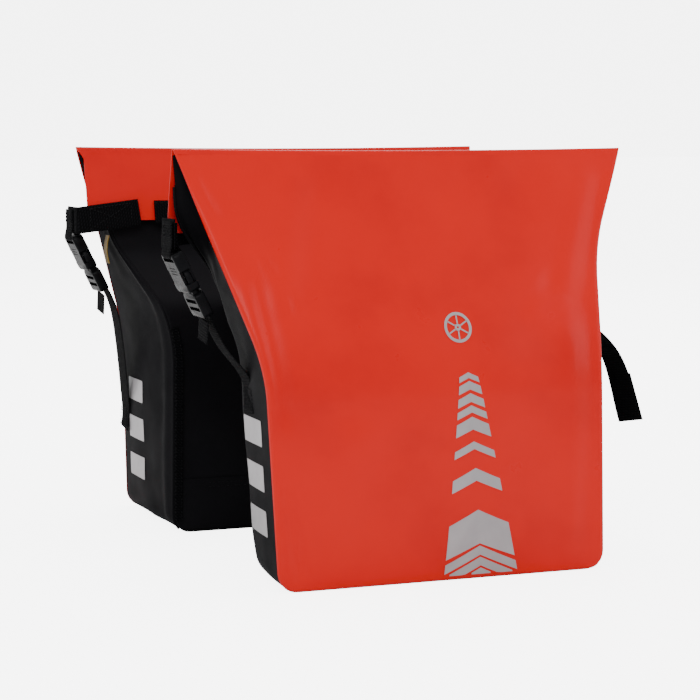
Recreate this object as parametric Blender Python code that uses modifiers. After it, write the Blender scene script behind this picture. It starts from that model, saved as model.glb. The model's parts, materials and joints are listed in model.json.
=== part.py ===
"""Double bicycle pannier bag: two mirrored roll-top bags joined by a bridge that lies on the rack deck.

X runs along the bicycle (+X forward), Y across it (+Y the left side) and Z up, in metres. The origin is
on the ground plane, midway between the two bags. Distances "across" are measured outwards from the
bicycle's middle plane, so one set of numbers makes both bags.
"""

import math

import bmesh
import bpy
from mathutils import Matrix, Vector

# Driving dimensions, in metres
HEIGHT = 0.355
HALF_GAP = 0.062
DEPTH = 0.165
WALL = 0.0016
TOUCH_GAP = 0.0004
CORNER_SEAM = 0.0010
CORNER_RADIUS = 0.020

KNEE_Z = 0.180
KNEE_CLEARANCE = 0.0020
SHOULDER_Z = 0.212
NECK_Z = 0.262
NECK_TOP_Z = 0.326
FLARE_Z = 0.270
FLAP_BOTTOM_Z = 0.287
FLAP_TOP_Z = HEIGHT - 0.0005
OUTER = HALF_GAP + DEPTH
FOLD_ACROSS = 0.157
FOLD_DEPTH = 0.0035
FOLD_PIVOT_INSET = 0.001
FLAP_BOTTOM_ACROSS = 0.138

# How far a bag's ends reach along X, and how far its walls stand from the middle plane, by height
REACH = {
    ("right", "rear"): ((0.0, 0.140), (KNEE_Z, 0.151), (FLARE_Z, 0.179), (HEIGHT, 0.2055)),
    ("left", "rear"): ((0.0, 0.140), (KNEE_Z, 0.144), (FLARE_Z, 0.175), (HEIGHT, 0.2055)),
    ("right", "front"): ((0.0, 0.1525), (KNEE_Z, 0.149), (FLARE_Z, 0.161), (HEIGHT, 0.1995)),
    ("left", "front"): ((0.0, 0.1525), (KNEE_Z, 0.149), (FLARE_Z, 0.161), (HEIGHT, 0.1995)),
}
OUTER_WALL = ((0.0, OUTER), (KNEE_Z, OUTER), (HEIGHT, FOLD_ACROSS))
INNER_WALL = ((0.0, HALF_GAP), (SHOULDER_Z, HALF_GAP), (NECK_Z, 0.143), (NECK_TOP_Z, 0.1505))

# The right bag's rear gusset turns in towards the front behind a crease at mid depth
TUCK = ((0.0, 0.042), (0.200, 0.042), (0.300, 0.0))
TUCK_AT_CREASE = 0.2
CREASE_SHARE = 0.5

# The front gussets are drawn in along the inner seam by the buckled strap
FRONT_TUCK = ((0.0, 0.0), (KNEE_Z, 0.0), (FLARE_Z, 0.012), (NECK_TOP_Z, 0.020))

SEAM_INSET_OUTER = 0.0034
SEAM_INSET_INNER = 0.0048

BOARD = 0.003
BOARD_MARGIN = 0.016
BASE_BOARD_MARGIN = 0.004
BACK_BOARD_Z = (0.008, 0.202)
STAY_WIDTH = 0.008
STAY_INSET = 0.004
STAY_Z = (0.012, 0.190)

STRAP_WIDTH = 0.025
STRAP = 0.0014
STRAP_CLEARANCE = 0.0030
BAND_LENGTH = 0.056
BAND_DROP = 0.007
BAND_EAR_Z = 0.2868
EAR_TOP_Z = 0.3005
BAND_GAP = 0.012
BAND_FOOT = 0.004
BAND_RISE = 0.018
EAR_TURN = 0.0025
EAR_CLEARANCE = 0.0032
EAR_END = 0.012

# The flap's lower corners and the buckles: loose at the rear, drawn in against the gusset at the front
EAR_REACH = {"rear": 0.2055, "front": 0.166}
BUCKLE_ACROSS = {"rear": 0.160, "front": 0.146}
BUCKLE_TILT = {"rear": math.radians(26), "front": math.radians(7.5)}
BUCKLE_TOP_Z = 0.2730
BUCKLE_STANDOFF = 0.0012
SOCKET_WIDTH = 0.036
SOCKET_LENGTH = 0.035
SOCKET_THICK = 0.0104
SOCKET_BAR = 0.009
SOCKET_CAVITY = 0.0076
SLOT_Z = -0.0042
SLOT_HEIGHT = 0.0028
CUT_MARGIN = 1.4
TONGUE_WIDTH = 0.020
TONGUE_LENGTH = 0.023
TONGUE_THICK = 0.0022
TONGUE_ROOT = 0.002
PLUG_TOP = 0.0365
PLUG_WIDTH = 0.034
PLUG_LENGTH = 0.022
PLUG_THICK = 0.0090
CHANNEL_WIDTH = 0.0266
CHANNEL_THICK = 0.0030
CHANNEL_OFFSET = -0.0018
TONGUE_OFFSET = 0.0016

# Where each side strap is sewn to its gusset: (height, distance across)
STRAP_FOOT = {
    ("right", "rear"): (0.1395, 0.170),
    ("left", "rear"): (0.080, 0.2115),
    ("right", "front"): (0.1395, 0.155),
    ("left", "front"): (0.1395, 0.155),
}
STRAP_RUN = 0.026
STRAP_LIFT = 0.0022
STRAP_BEND = (0.028, 0.004)
TAIL_OFFSET = 0.0012
REAR_TAIL_DROPS = (0.0, 0.009, 0.018)
FRONT_TAIL_BEND = (0.034, 0.034)
FRONT_TAIL_DROP = 0.090
FRONT_TAIL_TIP_X = 0.2128

REFLECTOR_SIZE = (0.050, 0.026)
REFLECTOR_ACROSS = 0.175
REFLECTOR_Z = (0.124, 0.087, 0.050)
REFLECTOR_THICK = 0.0006

TAB_ENDS = ((0.146, 0.246), (0.142, 0.272))
TAB_WIDTH = 0.010

BRIDGE_HALF_LENGTH = 0.095
BRIDGE_SEAM = 0.0022
BRIDGE_STRAP_X = 0.066
BRIDGE_Z = SHOULDER_Z

SIDES = {"right": -1, "left": 1}
ENDS = {"rear": -1, "front": 1}

COLOURS = {
    "tarpaulin_red": ((0.69, 0.037, 0.018), 0.28),
    "tarpaulin_black": ((0.008, 0.0075, 0.009), 0.42),
    "webbing_black": ((0.010, 0.010, 0.011), 0.80),
    "board_black": ((0.020, 0.020, 0.022), 0.55),
    "reflective_grey": ((0.45, 0.42, 0.43), 0.35),
    "buckle_black": ((0.012, 0.012, 0.013), 0.38),
    "lining_yellow": ((0.30, 0.19, 0.0), 0.60),
}


def clear_scene():
    for obj in list(bpy.data.objects):
        bpy.data.objects.remove(obj, do_unlink=True)


def new_collection(name):
    group = bpy.data.collections.new(name)
    bpy.context.scene.collection.children.link(group)
    return group


def at_height(table, z):
    """Value at height z, by straight lines between the rows of a (height, value) table."""
    for (low, value), (high, other) in zip(table, table[1:]):
        if z <= high:
            return value + (other - value) * max(z - low, 0.0) / (high - low)
    return table[-1][1]


def give_material(obj, finish):
    colour, roughness = COLOURS[finish]
    material = bpy.data.materials.new(obj.name)
    material.use_nodes = True
    shader = material.node_tree.nodes["Principled BSDF"]
    shader.inputs["Base Color"].default_value = (*colour, 1.0)
    shader.inputs["Roughness"].default_value = roughness
    shader.inputs["Metallic"].default_value = 0.0
    obj.data.materials.append(material)


def make_empty(name, spot, parent=None):
    empty = bpy.data.objects.new(name, None)
    PARTS.objects.link(empty)
    if parent is not None:
        empty.parent = parent
        empty.location = Vector(spot) - parent.matrix_world.translation
    else:
        empty.location = spot
    bpy.context.view_layer.update()
    return empty


def add_object(name, mesh, finish, parent):
    """Puts a mesh made in world coordinates under the empty on its joint axis."""
    obj = bpy.data.objects.new(name, mesh)
    PARTS.objects.link(obj)
    if parent is not None:
        pivot = parent.matrix_world.translation
        mesh.transform(Matrix.Translation(-pivot))
        obj.parent = parent
    give_material(obj, finish)
    return obj


def sheet(name, rows, facing, thickness, finish, parent, grow=-1):
    """Sheet material: an open grid of points given a thickness. Its faces are turned towards facing,
    and the thickness grows away from that side (grow -1) or out of it (grow 1)."""
    mesh = bpy.data.meshes.new(name)
    work = bmesh.new()
    grid = [[work.verts.new(point) for point in row] for row in rows]
    for low, high in zip(grid, grid[1:]):
        for left in range(len(low) - 1):
            work.faces.new((low[left], low[left + 1], high[left + 1], high[left]))
    work.normal_update()
    total = sum((face.normal * face.calc_area() for face in work.faces), Vector())
    if total.dot(Vector(facing)) < 0:
        bmesh.ops.reverse_faces(work, faces=work.faces)
    work.to_mesh(mesh)
    work.free()
    obj = add_object(name, mesh, finish, parent)
    thicken = obj.modifiers.new("Thickness", "SOLIDIFY")
    thicken.thickness = thickness
    thicken.offset = grow
    thicken.use_even_offset = True
    return obj


def block(name, size, frame, offset, finish=None, parent=None):
    """A box of the given size, centred at an offset in the axes of frame. Without a finish it is a cutter."""
    mesh = bpy.data.meshes.new(name)
    work = bmesh.new()
    bmesh.ops.create_cube(work, size=1.0)
    bmesh.ops.scale(work, vec=Vector(size), verts=work.verts)
    bmesh.ops.translate(work, vec=Vector(offset), verts=work.verts)
    bmesh.ops.transform(work, matrix=frame, verts=work.verts)
    bmesh.ops.recalc_face_normals(work, faces=work.faces)
    work.to_mesh(mesh)
    work.free()
    if finish is not None:
        return add_object(name, mesh, finish, parent)
    obj = bpy.data.objects.new(name, mesh)
    CUTTERS.objects.link(obj)
    obj.hide_render = True
    obj.display_type = "WIRE"
    return obj


def combine(obj, other, operation):
    joined = obj.modifiers.new(operation.title(), "BOOLEAN")
    joined.operation = operation
    joined.solver = "EXACT"
    joined.object = other


def corner_heights():
    """Heights of the round bottom corners, each with how far the corner pulls the end in there."""
    steps = [math.radians(angle) for angle in (0, 30, 60, 90)]
    return [(CORNER_RADIUS * (1 - math.cos(a)), CORNER_RADIUS * (1 - math.sin(a))) for a in steps]


def end_reach(side, end, z):
    return at_height(REACH[side, end], z)


def tuck_share(share):
    """How much of the tuck a point takes, from 0 at the outer seam to 1 at the inner seam."""
    if share > CREASE_SHARE:
        return TUCK_AT_CREASE * (1 - share) / (1 - CREASE_SHARE)
    return TUCK_AT_CREASE + (1 - TUCK_AT_CREASE) * (1 - share / CREASE_SHARE)


def end_x(side, end, z, pull, share):
    """X of a bag's end at height z. share runs from 0 at the inner seam to 1 at the outer seam."""
    reach = end_reach(side, end, z) - pull
    if (side, end) == ("right", "rear"):
        reach -= at_height(TUCK, z) * tuck_share(share)
    if end == "front":
        reach -= at_height(FRONT_TUCK, z) * (1 - share)
    return ENDS[end] * reach


def place(side, x, across, z):
    return Vector((x, SIDES[side] * across, z))


def wall_rows(side, wall, heights, share):
    rows = []
    for z, pull in heights:
        across = at_height(wall, z)
        rows.append([place(side, end_x(side, end, z, pull, share), across, z) for end in ENDS])
    return rows


def make_shell(side, bag, mouth, flap):
    sign = SIDES[side]
    outwards = (0, sign, 0)
    inwards = (0, -sign, 0)
    corners = corner_heights()

    lower = corners + [(KNEE_Z - TOUCH_GAP, 0.0)]
    rows = wall_rows(side, OUTER_WALL, lower, 1.0)
    sheet(f"{side}_outer_panel", rows, outwards, WALL, "tarpaulin_red", bag)

    upper = [(KNEE_Z + KNEE_CLEARANCE, 0.0), (FLARE_Z, 0.0), (HEIGHT, 0.0)]
    rows = wall_rows(side, OUTER_WALL, upper, 1.0)
    sheet(f"{side}_outer_panel_top", rows, outwards, WALL, "tarpaulin_red", mouth)

    heights = corners + [(KNEE_Z, 0.0), (SHOULDER_Z, 0.0), (NECK_Z, 0.0), (NECK_TOP_Z, 0.0)]
    rows = wall_rows(side, INNER_WALL, heights, 0.0)
    sheet(f"{side}_inner_panel", rows, inwards, WALL, "tarpaulin_black", bag)

    for end in ENDS:
        make_gusset(side, end, bag)
    make_base(side, bag)
    make_flap(side, flap)


def make_gusset(side, end, bag):
    shares = (0.0, CREASE_SHARE, 1.0)
    straight = (KNEE_Z, SHOULDER_Z, NECK_Z, FLARE_Z, NECK_TOP_Z)
    heights = corner_heights() + [(z, 0.0) for z in straight]
    rows = []
    for z, pull in heights:
        low = at_height(INNER_WALL, z) + SEAM_INSET_INNER
        high = at_height(OUTER_WALL, z) - SEAM_INSET_OUTER
        row = []
        for share in shares:
            x = end_x(side, end, z, pull, share)
            row.append(place(side, x, low + (high - low) * share, z))
        rows.append(row)
    sheet(f"{side}_{end}_gusset", rows, (ENDS[end], 0, 0), WALL, "tarpaulin_black", bag)


def make_base(side, bag):
    """The bag's bottom between the gussets' round corners, and the loose board that lies on it."""
    pull = CORNER_RADIUS + CORNER_SEAM
    low = HALF_GAP + SEAM_INSET_INNER
    high = OUTER - SEAM_INSET_OUTER
    rows = []
    board_rows = []
    for share in (0.0, CREASE_SHARE, 1.0):
        across = low + (high - low) * share
        rows.append([place(side, end_x(side, end, 0.0, pull, share), across, 0.0) for end in ENDS])
        inset = pull + BASE_BOARD_MARGIN
        across = low + BASE_BOARD_MARGIN + (high - low - 2 * BASE_BOARD_MARGIN) * share
        z = WALL + TOUCH_GAP
        board_rows.append([place(side, end_x(side, end, 0.0, inset, share), across, z) for end in ENDS])
    sheet(f"{side}_base_panel", rows, (0, 0, -1), WALL, "tarpaulin_black", bag)
    sheet(f"{side}_base_board", board_rows, (0, 0, -1), BOARD, "board_black", bag)


def make_boards(side, bag):
    """The plastic board behind the inner panel, and the stiffening strip sewn on the outside of it."""
    across = HALF_GAP + WALL + TOUCH_GAP
    rows = []
    for z in BACK_BOARD_Z:
        rear = end_x(side, "rear", z, BOARD_MARGIN, 0.0)
        front = end_x(side, "front", z, BOARD_MARGIN, 0.0)
        rows.append([place(side, rear, across, z), place(side, front, across, z)])
    sheet(f"{side}_back_board", rows, (0, -SIDES[side], 0), BOARD, "board_black", bag)

    across = HALF_GAP - TOUCH_GAP
    rows = []
    for z in STAY_Z:
        rear = end_x(side, "rear", z, STAY_INSET, 0.0)
        rows.append([place(side, rear, across, z), place(side, rear + STAY_WIDTH, across, z)])
    sheet(f"{side}_back_strip", rows, (0, -SIDES[side], 0), STRAP, "webbing_black", bag, grow=1)


def flap_lean():
    """How far the closed flap leans outwards for each metre of height."""
    return (FOLD_ACROSS - FOLD_DEPTH - FLAP_BOTTOM_ACROSS) / (FLAP_TOP_Z - FLAP_BOTTOM_Z)


def flap_across(z):
    """Where the gap side of the closed flap stands, by height."""
    return FLAP_BOTTOM_ACROSS + (z - FLAP_BOTTOM_Z) * flap_lean()


def make_flap(side, flap):
    inwards = (0, -SIDES[side], 0)
    corners = [ENDS[end] * EAR_REACH[end] for end in ENDS]
    fold = [ENDS[end] * end_reach(side, end, HEIGHT) for end in ENDS]
    rows = []
    for z, ends in ((FLAP_BOTTOM_Z, corners), (EAR_TOP_Z, corners), (FLAP_TOP_Z, fold)):
        rows.append([place(side, x, flap_across(z), z) for x in ends])
    sheet(f"{side}_closing_flap", rows, inwards, WALL, "tarpaulin_red", flap)

    inset = BAND_LENGTH + BAND_GAP
    ends = (corners[0] + inset, corners[1] - inset)
    heights = (FLAP_BOTTOM_Z - BAND_FOOT, FLAP_BOTTOM_Z + BAND_RISE)
    rows = [[place(side, x, flap_across(z) - TOUCH_GAP, z) for x in ends] for z in heights]
    sheet(f"{side}_flap_band", rows, inwards, STRAP, "webbing_black", flap, grow=1)


def buckle_frame(side, end):
    """Axes of a buckle: x outwards from the bag's end, y across, z up along the strap."""
    reach = EAR_REACH[end] + BUCKLE_STANDOFF
    spot = place(side, ENDS[end] * reach, BUCKLE_ACROSS[end], BUCKLE_TOP_Z)
    turn = Matrix.Rotation(ENDS[end] * BUCKLE_TILT[end], 4, "Y")
    mirror = Matrix.Diagonal((ENDS[end], 1, 1, 1))
    return Matrix.Translation(spot) @ turn @ mirror


def make_upper_strap(side, end, flap):
    """Webbing sewn along the flap near its ear and turned round the ear, down to just above the socket."""
    out = ENDS[end]
    ear = EAR_REACH[end]
    face = flap_across(BAND_EAR_Z) - TOUCH_GAP
    lean = flap_lean()
    half = Vector((0, SIDES[side] * lean, 1)) * (STRAP_WIDTH / 2)
    route = (
        (ear - BAND_LENGTH, face + BAND_DROP * lean, BAND_EAR_Z + BAND_DROP),
        (ear + EAR_CLEARANCE / 2, face, BAND_EAR_Z),
        (ear + EAR_CLEARANCE, face + EAR_TURN, BAND_EAR_Z),
        (ear + EAR_CLEARANCE, BUCKLE_ACROSS[end] + EAR_END, BAND_EAR_Z),
    )
    centres = [place(side, out * reach, across, z) for reach, across, z in route]
    rows = [[centre - half, centre + half] for centre in centres]
    facing = (out * 0.5, -SIDES[side], 0)
    sheet(f"{side}_{end}_upper_strap", rows, facing, STRAP, "webbing_black", flap, grow=1)


def make_socket(side, end, flap):
    frame = buckle_frame(side, end)
    size = (SOCKET_THICK, SOCKET_WIDTH, SOCKET_LENGTH)
    name = f"{side}_{end}_buckle_socket"
    socket = block(name, size, frame, (TONGUE_OFFSET, 0, -SOCKET_LENGTH / 2), "buckle_black", flap)
    size = (SOCKET_CAVITY, SOCKET_WIDTH * CUT_MARGIN, SOCKET_LENGTH)
    centre = (TONGUE_OFFSET, 0, -SOCKET_BAR - SOCKET_LENGTH / 2)
    combine(socket, block(f"{name}_cavity", size, frame, centre), "DIFFERENCE")
    size = (SOCKET_THICK * CUT_MARGIN * 2, CHANNEL_WIDTH, SLOT_HEIGHT)
    combine(socket, block(f"{name}_slot", size, frame, (0, 0, SLOT_Z)), "DIFFERENCE")


def make_plug(side, end, plug):
    frame = buckle_frame(side, end)
    name = f"{side}_{end}_buckle_plug"
    size = (PLUG_THICK, PLUG_WIDTH, PLUG_LENGTH)
    centre = (0, 0, -PLUG_TOP - PLUG_LENGTH / 2)
    body = block(name, size, frame, centre, "buckle_black", plug)
    size = (TONGUE_THICK, TONGUE_WIDTH, TONGUE_LENGTH + TONGUE_ROOT)
    centre = (TONGUE_OFFSET, 0, -PLUG_TOP + (TONGUE_LENGTH - TONGUE_ROOT) / 2)
    combine(body, block(f"{name}_tongue", size, frame, centre), "UNION")
    size = (CHANNEL_THICK, CHANNEL_WIDTH, PLUG_LENGTH * CUT_MARGIN)
    centre = (CHANNEL_OFFSET, 0, -PLUG_TOP - PLUG_LENGTH / 2)
    combine(body, block(f"{name}_channel", size, frame, centre), "DIFFERENCE")


def make_side_strap(side, end, bag):
    """Webbing from the plug's channel straight down past the plug's travel, then down the gusset."""
    out = ENDS[end]
    frame = buckle_frame(side, end)
    levels = (-PLUG_TOP - STRAP_CLEARANCE, -PLUG_TOP - PLUG_LENGTH - STRAP_RUN)
    straight = [frame @ Vector((CHANNEL_OFFSET - STRAP / 2, 0, z)) for z in levels]
    foot_z, foot_across = STRAP_FOOT[side, end]
    share = (foot_across - HALF_GAP) / DEPTH
    half = Vector((0, STRAP_WIDTH / 2, 0))
    foot = place(side, 0, foot_across, foot_z)
    middle = place(side, 0, foot_across - STRAP_BEND[1], foot_z + STRAP_BEND[0])
    for point in (foot, middle):
        point.x = end_x(side, end, point.z, 0.0, share) + out * STRAP_LIFT
    rows = [[point - half, point + half] for point in (*straight, middle, foot)]
    sheet(f"{side}_{end}_side_strap", rows, (out, 0, 0), STRAP, "webbing_black", bag, grow=1)


def make_tail(side, end, plug):
    """Free end of the strap below the plug: short at the rear, longer and standing away at the front."""
    frame = buckle_frame(side, end)
    half = Vector((0, STRAP_WIDTH / 2, 0))
    start = -PLUG_TOP - PLUG_LENGTH - STRAP_CLEARANCE
    first = frame @ Vector((TAIL_OFFSET, 0, start))
    if end == "rear":
        points = [first - Vector((0, 0, drop)) for drop in REAR_TAIL_DROPS]
    else:
        middle = first + Vector((FRONT_TAIL_BEND[0], 0, -FRONT_TAIL_BEND[1]))
        tip = Vector((FRONT_TAIL_TIP_X - STRAP, first.y, first.z - FRONT_TAIL_DROP))
        points = [first, middle, tip]
    rows = [[point - half, point + half] for point in points]
    sheet(f"{side}_{end}_strap_tail", rows, (ENDS[end], 0, 0), STRAP, "webbing_black", plug, grow=1)


def make_reflectors(side, bag):
    """Three reflective patches, one above the other, on the flat outer half of the rear gusset."""
    wide, tall = REFLECTOR_SIZE
    for number, z in enumerate(REFLECTOR_Z, start=1):
        rows = []
        for height in (z - tall / 2, z + tall / 2):
            row = []
            for across in (REFLECTOR_ACROSS - wide / 2, REFLECTOR_ACROSS + wide / 2):
                share = (across - HALF_GAP) / DEPTH
                x = end_x(side, "rear", height, 0.0, share) - TOUCH_GAP
                row.append(place(side, x, across, height))
            rows.append(row)
        name = f"{side}_reflector_{number}"
        sheet(name, rows, (-1, 0, 0), REFLECTOR_THICK, "reflective_grey", bag, grow=1)


def make_lining_tab(bag):
    """A narrow edge of lining that shows on the left bag's rear gusset."""
    rows = []
    for across, z in TAB_ENDS:
        x = end_x("left", "rear", z, 0.0, CREASE_SHARE) - TOUCH_GAP
        rows.append([place("left", x, across, z), place("left", x, across + TAB_WIDTH, z)])
    sheet("left_rear_lining_tab", rows, (-1, 0, 0), REFLECTOR_THICK, "lining_yellow", bag, grow=1)


def make_bridge():
    """The panel that lies on the rack deck and joins the bags, and the two straps sewn across it."""
    edge = HALF_GAP - BRIDGE_SEAM
    z = BRIDGE_Z - WALL / 2
    ends = (-BRIDGE_HALF_LENGTH, BRIDGE_HALF_LENGTH)
    rows = [[Vector((x, y, z)) for x in ends] for y in (-edge, edge)]
    sheet("bridge_panel", rows, (0, 0, -1), WALL, "tarpaulin_black", None)
    for end, out in ENDS.items():
        low = out * BRIDGE_STRAP_X - STRAP_WIDTH / 2
        top = z + WALL + TOUCH_GAP
        rows = [[Vector((x, y, top)) for x in (low, low + STRAP_WIDTH)] for y in (-edge, edge)]
        sheet(f"{end}_bridge_strap", rows, (0, 0, -1), STRAP, "webbing_black", None)


def make_bag(side):
    bag = make_empty(f"{side}_bag_pivot", place(side, 0, HALF_GAP, BRIDGE_Z))
    mouth = make_empty(f"{side}_mouth_pivot", place(side, 0, OUTER - WALL / 2, KNEE_Z), bag)
    flap = make_empty(f"{side}_flap_pivot", place(side, 0, FOLD_ACROSS - FOLD_PIVOT_INSET, HEIGHT), mouth)
    make_shell(side, bag, mouth, flap)
    make_boards(side, bag)
    make_reflectors(side, bag)
    for end in ENDS:
        plug_spot = buckle_frame(side, end) @ Vector((0, 0, -PLUG_TOP))
        plug = make_empty(f"{side}_{end}_plug_slide", plug_spot, bag)
        make_upper_strap(side, end, flap)
        make_socket(side, end, flap)
        make_plug(side, end, plug)
        make_side_strap(side, end, bag)
        make_tail(side, end, plug)
    return bag


clear_scene()
PARTS = new_collection("pannier_bag")
CUTTERS = new_collection("pannier_bag_cutters")
make_bridge()
for side_name in SIDES:
    bag_pivot = make_bag(side_name)
    if side_name == "left":
        make_lining_tab(bag_pivot)
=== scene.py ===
"""Looks of the double pannier bag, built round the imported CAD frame.

X runs along the bicycle (+X forward), Y across it (+Y the left side) and Z up, in metres. Distances
"across" are measured outwards from the middle plane, so the same functions shape both bags. Every panel
is sampled from the same few surface functions, so that neighbouring panels meet along their seams.
"""

import json
import math

import bmesh
import bpy
from mathutils import Matrix, Vector, noise
from mathutils.bvhtree import BVHTree


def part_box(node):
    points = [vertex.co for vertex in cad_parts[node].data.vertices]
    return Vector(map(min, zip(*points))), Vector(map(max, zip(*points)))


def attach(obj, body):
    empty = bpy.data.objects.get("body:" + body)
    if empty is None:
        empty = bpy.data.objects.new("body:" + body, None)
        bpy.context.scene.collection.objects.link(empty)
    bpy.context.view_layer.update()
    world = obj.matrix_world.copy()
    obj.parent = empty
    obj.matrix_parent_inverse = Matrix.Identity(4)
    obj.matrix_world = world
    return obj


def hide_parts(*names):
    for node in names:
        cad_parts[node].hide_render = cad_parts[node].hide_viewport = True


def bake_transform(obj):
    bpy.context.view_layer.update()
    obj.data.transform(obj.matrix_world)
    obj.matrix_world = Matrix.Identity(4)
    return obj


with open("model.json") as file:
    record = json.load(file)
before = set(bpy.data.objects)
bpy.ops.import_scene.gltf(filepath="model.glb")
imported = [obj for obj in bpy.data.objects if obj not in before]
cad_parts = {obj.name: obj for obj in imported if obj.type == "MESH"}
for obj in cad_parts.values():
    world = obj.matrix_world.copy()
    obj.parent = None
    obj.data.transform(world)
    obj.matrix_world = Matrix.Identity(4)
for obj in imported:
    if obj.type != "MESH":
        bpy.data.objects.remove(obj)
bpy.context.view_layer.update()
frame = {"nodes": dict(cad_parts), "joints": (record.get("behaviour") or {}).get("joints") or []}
JOINTS = {joint["name"]: joint for joint in frame["joints"]}

SIDES = {"right": -1, "left": 1}
ENDS = {"rear": -1, "front": 1}

# Places read from the frame
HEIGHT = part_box("left_outer_panel_top")[1].z
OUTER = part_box("left_outer_panel")[1].y
HALF_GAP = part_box("left_inner_panel")[0].y
FLAP_BOTTOM_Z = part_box("left_closing_flap")[0].z
FLAP_BOTTOM_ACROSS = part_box("left_closing_flap")[0].y
NECK_TOP_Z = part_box("left_inner_panel")[1].z
KNEE_Z = JOINTS["left_mouth_open"]["pos_m"][2]
BRIDGE_Z = JOINTS["left_bag_swing"]["pos_m"][2]
FOLD_ACROSS = JOINTS["left_flap_lift"]["pos_m"][1] + 0.001

# The bag's outline by height, as in the CAD model: (height, distance)
REACH = {
    ("right", "rear"): ((0.0, 0.140), (KNEE_Z, 0.151), (0.270, 0.179), (HEIGHT, 0.2055)),
    ("left", "rear"): ((0.0, 0.140), (KNEE_Z, 0.144), (0.270, 0.175), (HEIGHT, 0.2055)),
    ("right", "front"): ((0.0, 0.1525), (KNEE_Z, 0.149), (0.270, 0.161), (HEIGHT, 0.1995)),
    ("left", "front"): ((0.0, 0.1525), (KNEE_Z, 0.149), (0.270, 0.161), (HEIGHT, 0.1995)),
}
OUTER_WALL = ((0.0, OUTER), (KNEE_Z, OUTER), (HEIGHT, FOLD_ACROSS))
INNER_WALL = ((0.0, HALF_GAP), (BRIDGE_Z, HALF_GAP), (0.262, 0.143), (NECK_TOP_Z, 0.1505))
TUCK = ((0.0, 0.042), (0.200, 0.042), (0.300, 0.0), (HEIGHT, 0.0))
TUCK_AT_CREASE = 0.2
FRONT_TUCK = ((0.0, 0.0), (KNEE_Z, 0.0), (0.270, 0.012), (NECK_TOP_Z, 0.020))

# How the inner seam stands inside (or outside) the outer one at the rear, beyond the CAD model's tucks
INNER_DRAW = {
    "right": ((0.0, 0.0), (0.200, 0.0), (0.285, -0.017), (0.335, -0.004), (HEIGHT, 0.0)),
    "left": ((0.0, 0.0), (KNEE_Z, 0.006), (0.250, 0.004), (HEIGHT, 0.0)),
}

# Fabric
TARP = 0.0011
WEB = 0.0014
WEB_WIDTH = 0.025
SEWN_WIDTH = 0.019
SEAM_ROLL = 0.0036
BACK_ROLL = 0.0028
CORNER_RADIUS = 0.016
BULGE = 0.0055
FULL_BELOW = 0.32
FOLD_RADIUS = 0.0023
SPLIT_BELOW_TOP = 0.0040
PROUD = 0.0003
FILM = 0.00022

# Depths of the fabric's waves, hollows and ridges
WAVES = 0.0016
RIPPLES = 0.0006
GUSSET_SWELL = 0.0028
GUSSET_RIDGE = 0.0016
FLAP_HOLLOW = 0.0022
FLAP_WAVES = 0.0030
FLAP_RIPPLES = 0.0009
STIFF_WAVES = 0.0004
FREE_WAVES = 0.0020

# Buckles, in the axes of buckle_frame
EAR_REACH = {"rear": 0.2055, "front": 0.166}
BUCKLE_ACROSS = {"rear": 0.160, "front": 0.146}
BUCKLE_TILT = {"rear": math.radians(26), "front": math.radians(7.5)}
BUCKLE_TOP_Z = 0.2730
SOCKET_WIDTH = 0.036
SOCKET_LENGTH = 0.035
SOCKET_THICK = 0.0104
PLUG_TOP = 0.0365
PLUG_WIDTH = 0.034
PLUG_LENGTH = 0.022
PLUG_THICK = 0.0090
MIDDLE_OFFSET = 0.0016
EAR_Z = 0.2868
STRAP_SLOT = 0.0262

# The column of arrow heads: its middle at one height, and its lean
COLUMN_X = 0.0325
COLUMN_Z = 0.050
COLUMN_LEAN = -0.085


# --- small helpers ---


def place(side, x, across, z):
    return Vector((x, SIDES[side] * across, z))


def clamp(value, low=0.0, high=1.0):
    return max(low, min(high, value))


def ease(value):
    value = clamp(value)
    return value * value * (3 - 2 * value)


def spread(low, high, steps):
    return [low + (high - low) * step / steps for step in range(steps + 1)]


def level(table, z):
    """Value at height z by straight lines between the rows of a table, going on past its ends."""
    for (low, value), (high, other) in zip(table, table[1:]):
        if z <= high or high == table[-1][0]:
            return value + (other - value) * (z - low) / (high - low)


def soft(table, z, reach):
    """The same, with its corners rounded over reach to either side."""
    taps = (-1.0, -0.66, -0.33, 0.0, 0.33, 0.66, 1.0)
    return sum(level(table, z + tap * reach) for tap in taps) / len(taps)


def corner_pull(z):
    """How far the round bottom corner is inside the bag's end."""
    if z >= CORNER_RADIUS:
        return 0.0
    return CORNER_RADIUS - math.sqrt(CORNER_RADIUS**2 - (CORNER_RADIUS - z) ** 2)


def end_reach(side, end, z):
    return soft(REACH[side, end], z, 0.022)


def tuck_share(share):
    """How much of the right rear gusset's tuck a point takes: 1 at the inner seam, 0 at the outer."""
    total = 0.0
    taps = (-0.05, -0.025, 0.0, 0.025, 0.05)
    for tap in taps:
        s = clamp(share + tap * clamp(share * 4) * clamp(4 - share * 4))
        outside = TUCK_AT_CREASE * (1 - s) * 2
        inside = TUCK_AT_CREASE + (1 - TUCK_AT_CREASE) * (1 - 2 * s)
        total += outside if s > 0.5 else inside
    return total / len(taps)


def end_x(side, end, z, share):
    reach = end_reach(side, end, z) - corner_pull(z)
    if (side, end) == ("right", "rear"):
        reach -= soft(TUCK, z, 0.015) * tuck_share(share)
    if end == "rear":
        reach -= soft(INNER_DRAW[side], z, 0.02) * (1 - share) ** 1.5
    else:
        reach -= soft(FRONT_TUCK, z, 0.02) * (1 - share)
    return ENDS[end] * reach


def outer_wall(z):
    return soft(OUTER_WALL, z, 0.024) if z < HEIGHT - 0.04 else level(OUTER_WALL, z)


def inner_wall(z):
    return soft(INNER_WALL, z, 0.008) if z < NECK_TOP_Z - 0.01 else level(INNER_WALL, z)


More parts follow.
